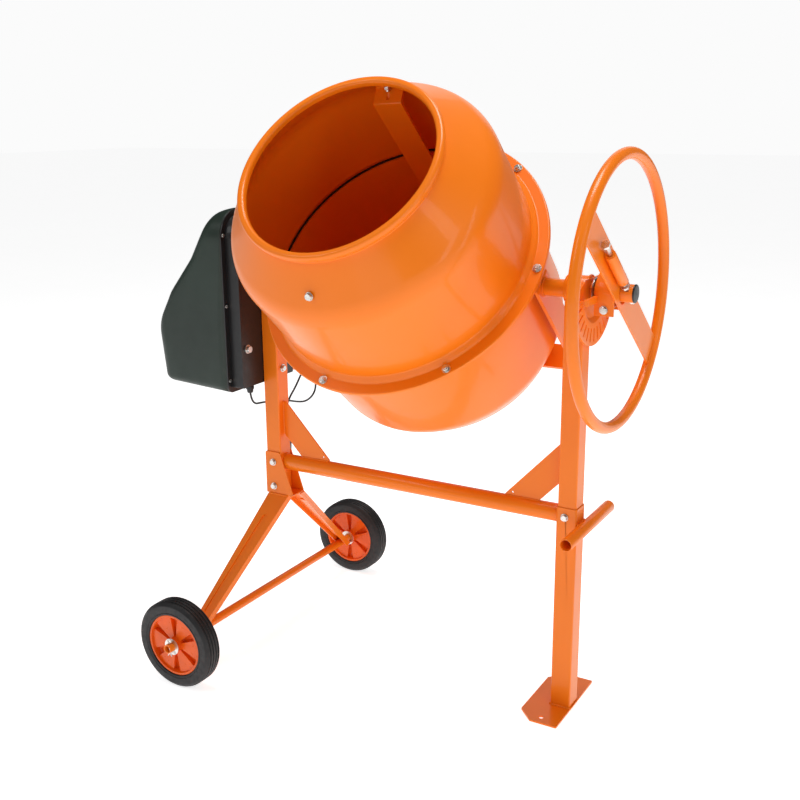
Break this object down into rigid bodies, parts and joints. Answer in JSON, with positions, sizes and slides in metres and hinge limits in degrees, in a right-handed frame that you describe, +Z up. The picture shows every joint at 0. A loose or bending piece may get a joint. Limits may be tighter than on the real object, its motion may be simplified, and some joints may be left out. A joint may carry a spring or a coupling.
{
  "type": "concrete mixer",
  "caption": "Portable electric concrete mixer: tilting orange drum in a yoke, hand wheel with lock, belt-driven ring gear, guarded motor, two-wheeled stand.",
  "frame": {"origin": "on the floor, under the middle of the whole machine's bounding box", "axes": "+Z up; +X along the tilt shaft, from the motor housing to the hand wheel; +Y towards the back, away from the drum's leaning mouth"},
  "size_m": [1.1615, 0.857, 1.3466],
  "materials": {
    "orange_paint": "glossy orange powder coat",
    "orange_plastic": "glossy moulded orange plastic",
    "tyre_rubber": "solid black rubber, satin",
    "black_rubber": "black rubber, matt",
    "zinc_steel": "bright zinc plate",
    "machined_steel": "turned steel, lightly oiled",
    "cast_metal": "dark cast iron",
    "green_plastic": "dark green satin moulding with a fine grain",
    "black_plastic": "black satin moulding",
    "bronze": "sintered bronze",
    "motor_casting": "raw die casting",
    "green_button": "gloss green cap",
    "red_button": "gloss red cap"
  },
  "bodies": {
    "stand": {"upright_left": "orange_paint", "upright_right": "orange_paint", "lower_leg": "orange_paint", "foot_plate": "orange_paint", "foot_handle": "orange_paint", "cross_tube": "orange_paint", "gussets": "orange_paint", "wheel_bracket": "orange_paint", "wheel_leg_near": "orange_paint", "wheel_leg_far": "orange_paint", "axle_tube": "orange_paint", "axle_washers": "zinc_steel", "split_pins": "zinc_steel", "stand_bolts": "zinc_steel", "trunnion_bushes": "black_plastic", "index_plate": "orange_paint", "guard_cover": "green_plastic", "guard_tray": "black_plastic", "cover_screws": "zinc_steel", "motor_stator": "motor_casting", "motor_mount_bolts": "zinc_steel", "v_belt": "black_rubber", "switch_box": "black_plastic", "cable_gland": "black_plastic", "supply_cord": "black_rubber", "plug": "black_rubber", "cord_hook": "orange_paint"},
    "yoke": {"yoke_bar": "orange_paint", "trunnion_left": "orange_paint", "trunnion_right": "orange_paint", "shaft_bushes": "bronze", "end_plug": "black_plastic", "spindle": "machined_steel", "pivot_bolt": "zinc_steel", "return_spring": "machined_steel"},
    "drum": {"upper_shell": "orange_paint", "lower_shell": "orange_paint", "seam_seal": "black_rubber", "ring_gear": "cast_metal", "flange_bolts": "zinc_steel", "blade_upper": "orange_paint", "blade_lower": "orange_paint", "blade_bolts": "zinc_steel", "drum_hub": "cast_metal", "hub_cap": "black_plastic", "hub_bolts": "zinc_steel"},
    "pinion": {"pinion_shaft": "machined_steel", "large_pulley": "black_plastic"},
    "rotor": {"motor_rotor": "machined_steel"},
    "hand_wheel": {"hand_wheel_rim": "orange_paint", "spoke_plate": "orange_paint", "hub_saddle": "orange_paint", "saddle_bolt": "zinc_steel"},
    "wheel_near": {"tyre_near": "tyre_rubber", "hub_near": "orange_plastic"},
    "wheel_far": {"tyre_far": "tyre_rubber", "hub_far": "orange_plastic"},
    "start_button": {"button_start": "green_button"},
    "stop_button": {"button_stop": "red_button"}
  },
  "joints": [
    {"name": "tilt", "type": "hinge", "parent": "stand", "child": "yoke", "pos_m": [0.07621, 0.00049, 0.9326], "axis": [1, 0, 0], "range_deg": [-98, 81]},
    {"name": "drum_spin", "type": "hinge", "parent": "yoke", "child": "drum", "pos_m": [0.07621, 0.00049, 0.9326], "axis": [0, -0.7513, 0.66], "continuous": true},
    {"name": "pinion_spin", "type": "hinge", "parent": "yoke", "child": "pinion", "pos_m": [-0.23279, 0.00049, 0.9326], "axis": [1, 0, 0], "continuous": true},
    {"name": "rotor_spin", "type": "hinge", "parent": "stand", "child": "rotor", "pos_m": [-0.42379, 0.00049, 0.743], "axis": [1, 0, 0], "continuous": true},
    {"name": "wheel_rock", "type": "hinge", "parent": "yoke", "child": "hand_wheel", "pos_m": [0.56331, 0.00049, 0.9326], "axis": [0, -0.7965, 0.6046], "range_deg": [0, 5], "stiffness_Nm_per_rad": 30, "springref_deg": -5.73},
    {"name": "wheel_near_spin", "type": "hinge", "parent": "stand", "child": "wheel_near", "pos_m": [-0.34709, -0.35001, 0.104], "axis": [0, 1, 0], "continuous": true},
    {"name": "wheel_far_spin", "type": "hinge", "parent": "stand", "child": "wheel_far", "pos_m": [-0.34709, 0.38599, 0.104], "axis": [0, 1, 0], "continuous": true},
    {"name": "start_press", "type": "slide", "parent": "stand", "child": "start_button", "axis": [0, -1, 0], "range_m": [0, 0.0025], "stiffness_N_per_m": 800, "springref_m": -0.002},
    {"name": "stop_press", "type": "slide", "parent": "stand", "child": "stop_button", "axis": [0, -1, 0], "range_m": [0, 0.0025], "stiffness_N_per_m": 800, "springref_m": -0.002}
  ],
  "couplings": [
    {"joint": "pinion_spin", "follows": "drum_spin", "ratio": 8},
    {"joint": "rotor_spin", "follows": "drum_spin", "ratio": 49.379}
  ]
}
